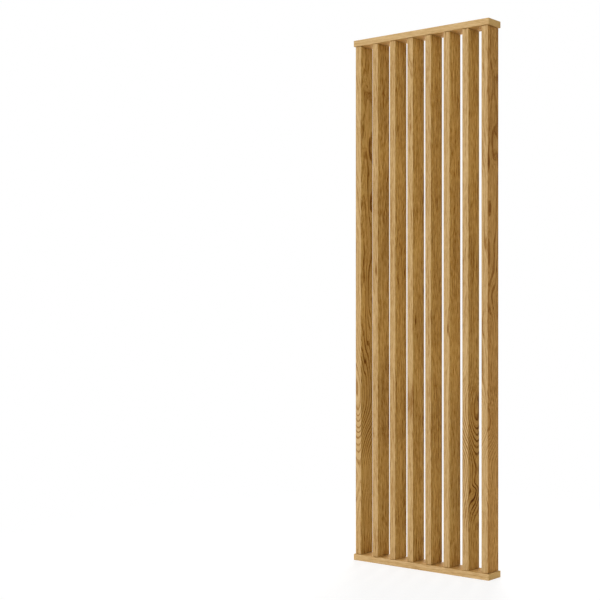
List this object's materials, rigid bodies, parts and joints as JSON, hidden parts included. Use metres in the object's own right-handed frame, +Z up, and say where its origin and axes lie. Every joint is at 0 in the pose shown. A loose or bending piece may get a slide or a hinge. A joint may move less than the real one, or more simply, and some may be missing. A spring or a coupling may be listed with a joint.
{
  "type": "rotating slat room divider",
  "caption": "Floor-to-ceiling room divider: a row of upright oak slats between two rails, each slat turning on its own vertical axis.",
  "frame": {"origin": "middle of the bottom rail's underside, on the floor", "axes": "+Z up along the slats, +X along the row to the right as seen from the front, +Y from the front to the back"},
  "size_m": [0.718, 0.1, 2.4],
  "materials": {
    "oak_slat": "oiled oak, upright grain",
    "oak_rail": "oiled oak, grain along the rail",
    "pin_steel": "turned steel",
    "sleeve_steel": "zinc-plated steel",
    "spring_steel": "drawn spring wire",
    "bushing_nylon": "natural nylon"
  },
  "bodies": {
    "rails": {"bottom_rail": "oak_rail", "top_rail": "oak_rail", "bottom_bushing_1": "bushing_nylon", "bottom_bushing_2": "bushing_nylon", "bottom_bushing_3": "bushing_nylon", "bottom_bushing_4": "bushing_nylon", "bottom_bushing_5": "bushing_nylon", "bottom_bushing_6": "bushing_nylon", "bottom_bushing_7": "bushing_nylon", "bottom_bushing_8": "bushing_nylon", "top_bushing_1": "bushing_nylon", "top_bushing_2": "bushing_nylon", "top_bushing_3": "bushing_nylon", "top_bushing_4": "bushing_nylon", "top_bushing_5": "bushing_nylon", "top_bushing_6": "bushing_nylon", "top_bushing_7": "bushing_nylon", "top_bushing_8": "bushing_nylon"},
    "turning_slat_1": {"slat_1": "oak_slat", "bottom_pin_1": "pin_steel", "top_sleeve_1": "sleeve_steel", "top_spring_1": "spring_steel"},
    "sprung_pin_1": {"top_pin_1": "pin_steel"},
    "turning_slat_2": {"slat_2": "oak_slat", "bottom_pin_2": "pin_steel", "top_sleeve_2": "sleeve_steel", "top_spring_2": "spring_steel"},
    "sprung_pin_2": {"top_pin_2": "pin_steel"},
    "turning_slat_3": {"slat_3": "oak_slat", "bottom_pin_3": "pin_steel", "top_sleeve_3": "sleeve_steel", "top_spring_3": "spring_steel"},
    "sprung_pin_3": {"top_pin_3": "pin_steel"},
    "turning_slat_4": {"slat_4": "oak_slat", "bottom_pin_4": "pin_steel", "top_sleeve_4": "sleeve_steel", "top_spring_4": "spring_steel"},
    "sprung_pin_4": {"top_pin_4": "pin_steel"},
    "turning_slat_5": {"slat_5": "oak_slat", "bottom_pin_5": "pin_steel", "top_sleeve_5": "sleeve_steel", "top_spring_5": "spring_steel"},
    "sprung_pin_5": {"top_pin_5": "pin_steel"},
    "turning_slat_6": {"slat_6": "oak_slat", "bottom_pin_6": "pin_steel", "top_sleeve_6": "sleeve_steel", "top_spring_6": "spring_steel"},
    "sprung_pin_6": {"top_pin_6": "pin_steel"},
    "turning_slat_7": {"slat_7": "oak_slat", "bottom_pin_7": "pin_steel", "top_sleeve_7": "sleeve_steel", "top_spring_7": "spring_steel"},
    "sprung_pin_7": {"top_pin_7": "pin_steel"},
    "turning_slat_8": {"slat_8": "oak_slat", "bottom_pin_8": "pin_steel", "top_sleeve_8": "sleeve_steel", "top_spring_8": "spring_steel"},
    "sprung_pin_8": {"top_pin_8": "pin_steel"}
  },
  "joints": [
    {"name": "slat_turn_1", "type": "hinge", "parent": "rails", "child": "turning_slat_1", "pos_m": [-0.336, 0, 0.0295], "axis": [0, 0, 1], "continuous": true},
    {"name": "pin_slide_1", "type": "slide", "parent": "turning_slat_1", "child": "sprung_pin_1", "axis": [0, 0, 1], "range_m": [-0.012, 0], "stiffness_N_per_m": 1900, "springref_m": 0.005, "deforming": ["top_spring_1"]},
    {"name": "slat_turn_2", "type": "hinge", "parent": "rails", "child": "turning_slat_2", "pos_m": [-0.24, 0, 0.0295], "axis": [0, 0, 1], "continuous": true},
    {"name": "pin_slide_2", "type": "slide", "parent": "turning_slat_2", "child": "sprung_pin_2", "axis": [0, 0, 1], "range_m": [-0.012, 0], "stiffness_N_per_m": 1900, "springref_m": 0.005, "deforming": ["top_spring_2"]},
    {"name": "slat_turn_3", "type": "hinge", "parent": "rails", "child": "turning_slat_3", "pos_m": [-0.144, 0, 0.0295], "axis": [0, 0, 1], "continuous": true},
    {"name": "pin_slide_3", "type": "slide", "parent": "turning_slat_3", "child": "sprung_pin_3", "axis": [0, 0, 1], "range_m": [-0.012, 0], "stiffness_N_per_m": 1900, "springref_m": 0.005, "deforming": ["top_spring_3"]},
    {"name": "slat_turn_4", "type": "hinge", "parent": "rails", "child": "turning_slat_4", "pos_m": [-0.048, 0, 0.0295], "axis": [0, 0, 1], "continuous": true},
    {"name": "pin_slide_4", "type": "slide", "parent": "turning_slat_4", "child": "sprung_pin_4", "axis": [0, 0, 1], "range_m": [-0.012, 0], "stiffness_N_per_m": 1900, "springref_m": 0.005, "deforming": ["top_spring_4"]},
    {"name": "slat_turn_5", "type": "hinge", "parent": "rails", "child": "turning_slat_5", "pos_m": [0.048, 0, 0.0295], "axis": [0, 0, 1], "continuous": true},
    {"name": "pin_slide_5", "type": "slide", "parent": "turning_slat_5", "child": "sprung_pin_5", "axis": [0, 0, 1], "range_m": [-0.012, 0], "stiffness_N_per_m": 1900, "springref_m": 0.005, "deforming": ["top_spring_5"]},
    {"name": "slat_turn_6", "type": "hinge", "parent": "rails", "child": "turning_slat_6", "pos_m": [0.144, 0, 0.0295], "axis": [0, 0, 1], "continuous": true},
    {"name": "pin_slide_6", "type": "slide", "parent": "turning_slat_6", "child": "sprung_pin_6", "axis": [0, 0, 1], "range_m": [-0.012, 0], "stiffness_N_per_m": 1900, "springref_m": 0.005, "deforming": ["top_spring_6"]},
    {"name": "slat_turn_7", "type": "hinge", "parent": "rails", "child": "turning_slat_7", "pos_m": [0.24, 0, 0.0295], "axis": [0, 0, 1], "continuous": true},
    {"name": "pin_slide_7", "type": "slide", "parent": "turning_slat_7", "child": "sprung_pin_7", "axis": [0, 0, 1], "range_m": [-0.012, 0], "stiffness_N_per_m": 1900, "springref_m": 0.005, "deforming": ["top_spring_7"]},
    {"name": "slat_turn_8", "type": "hinge", "parent": "rails", "child": "turning_slat_8", "pos_m": [0.336, 0, 0.0295], "axis": [0, 0, 1], "continuous": true},
    {"name": "pin_slide_8", "type": "slide", "parent": "turning_slat_8", "child": "sprung_pin_8", "axis": [0, 0, 1], "range_m": [-0.012, 0], "stiffness_N_per_m": 1900, "springref_m": 0.005, "deforming": ["top_spring_8"]}
  ]
}
